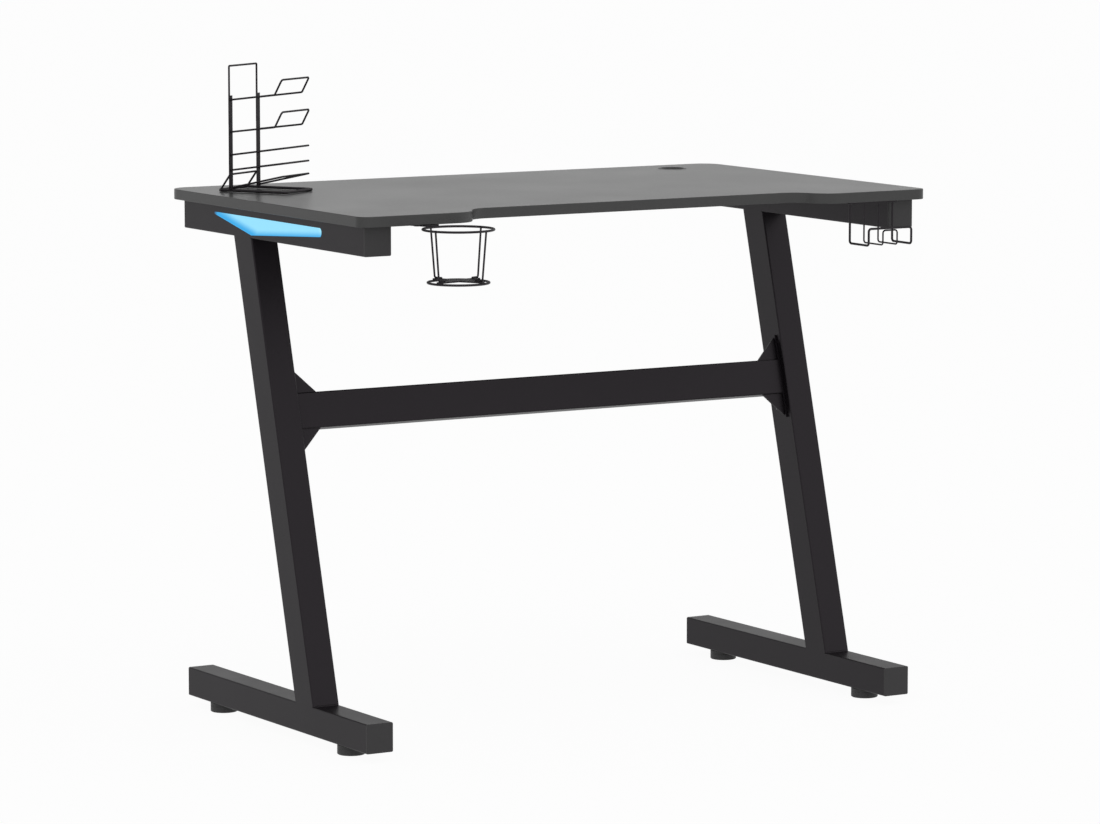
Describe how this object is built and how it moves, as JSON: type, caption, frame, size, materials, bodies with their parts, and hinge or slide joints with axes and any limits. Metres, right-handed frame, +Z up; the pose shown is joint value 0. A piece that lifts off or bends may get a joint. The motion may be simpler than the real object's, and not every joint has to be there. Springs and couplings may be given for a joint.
{
  "type": "gaming desk",
  "caption": "Z-frame gaming desk with a contoured board, lit side rails, a swing-out wire cup holder, a headphone hook, a cable grommet and a loose wire rack for controllers and disc cases.",
  "frame": {"origin": "on the floor, under the middle of the whole footprint, from the cup holder's front to the board's back edge", "axes": "+X to the sitter's right, +Y away from the sitter, +Z up"},
  "size_m": [0.9, 0.6534, 0.9033],
  "materials": {
    "board_laminate": "fine-grained dark grey laminate, satin",
    "edge_band": "dark grey edge band, satin",
    "black_plastic": "black moulded plastic, matte",
    "glide_nylon": "black moulded nylon",
    "frame_paint": "black powder coat, fine texture",
    "wire_paint": "black paint, matte",
    "brass": "machined",
    "screw_steel": "dark zinc plate",
    "lit_panel": "translucent diffuser, lit ice blue",
    "led_strip": "white strip with small lamps",
    "black_rubber": "black rubber, matte",
    "circuit": "green circuit board",
    "button": "black push button, gloss"
  },
  "bodies": {
    "desk": {"cable_grommet": "edge_band", "control_board": "circuit", "control_box": "black_plastic", "control_box_screws": "screw_steel", "cup_pivot_screw": "screw_steel", "edge_band": "edge_band", "foot_rail_end_caps": "black_plastic", "glide_nuts": "screw_steel", "hook_inner_wire": "wire_paint", "hook_outer_wire": "wire_paint", "hook_plate": "wire_paint", "hook_screws": "screw_steel", "lead_bushes": "black_rubber", "lead_clips": "black_plastic", "left_foot_rail": "frame_paint", "left_led_lead": "black_rubber", "left_led_strip": "led_strip", "left_leg": "frame_paint", "left_light_panel": "lit_panel", "left_top_rail": "frame_paint", "power_inlet": "black_plastic", "rail_inserts": "brass", "rail_screws": "screw_steel", "right_foot_rail": "frame_paint", "right_led_lead": "black_rubber", "right_led_strip": "led_strip", "right_leg": "frame_paint", "right_light_panel": "lit_panel", "right_top_rail": "frame_paint", "rivet_nuts": "screw_steel", "stretcher_beam": "frame_paint", "stretcher_bolts": "screw_steel", "stretcher_end_plates": "frame_paint", "stretcher_gussets": "frame_paint", "tabletop_board": "board_laminate", "top_rail_end_caps": "black_plastic"},
    "rack": {"rack_base_loop": "wire_paint", "rack_left_post": "frame_paint", "rack_lower_arm": "wire_paint", "rack_lower_shelf": "wire_paint", "rack_middle_shelf": "wire_paint", "rack_rear_brace": "wire_paint", "rack_right_post": "frame_paint", "rack_top_frame": "wire_paint", "rack_upper_arm": "wire_paint", "rack_upper_shelf": "wire_paint"},
    "cup_holder": {"cup_upper_ring": "wire_paint", "cup_lower_ring": "wire_paint", "cup_uprights": "wire_paint", "cup_base_cross": "wire_paint", "cup_bracket": "wire_paint"},
    "light_button": {"light_button": "button"},
    "front_left_glide": {"front_left_glide": "glide_nylon"},
    "front_right_glide": {"front_right_glide": "glide_nylon"},
    "rear_left_glide": {"rear_left_glide": "glide_nylon"},
    "rear_right_glide": {"rear_right_glide": "glide_nylon"}
  },
  "joints": [
    {"name": "front_left_glide_height", "type": "slide", "parent": "desk", "child": "front_left_glide", "axis": [0, 0, -1], "range_m": [0, 0.012]},
    {"name": "front_right_glide_height", "type": "slide", "parent": "desk", "child": "front_right_glide", "axis": [0, 0, -1], "range_m": [0, 0.012]},
    {"name": "rear_left_glide_height", "type": "slide", "parent": "desk", "child": "rear_left_glide", "axis": [0, 0, -1], "range_m": [0, 0.012]},
    {"name": "rear_right_glide_height", "type": "slide", "parent": "desk", "child": "rear_right_glide", "axis": [0, 0, -1], "range_m": [0, 0.012]},
    {"name": "rack_lift", "type": "slide", "parent": "desk", "child": "rack", "axis": [0, 0, 1], "range_m": [0, 0.2]},
    {"name": "cup_holder_swing", "type": "hinge", "parent": "desk", "child": "cup_holder", "pos_m": [-0.35374, -0.21022, 0.712], "axis": [0, 0, 1], "range_deg": [-45, 145]},
    {"name": "light_button_press", "type": "slide", "parent": "desk", "child": "light_button", "axis": [0, 1, 0], "range_m": [0, 0.0015], "stiffness_N_per_m": 800}
  ]
}
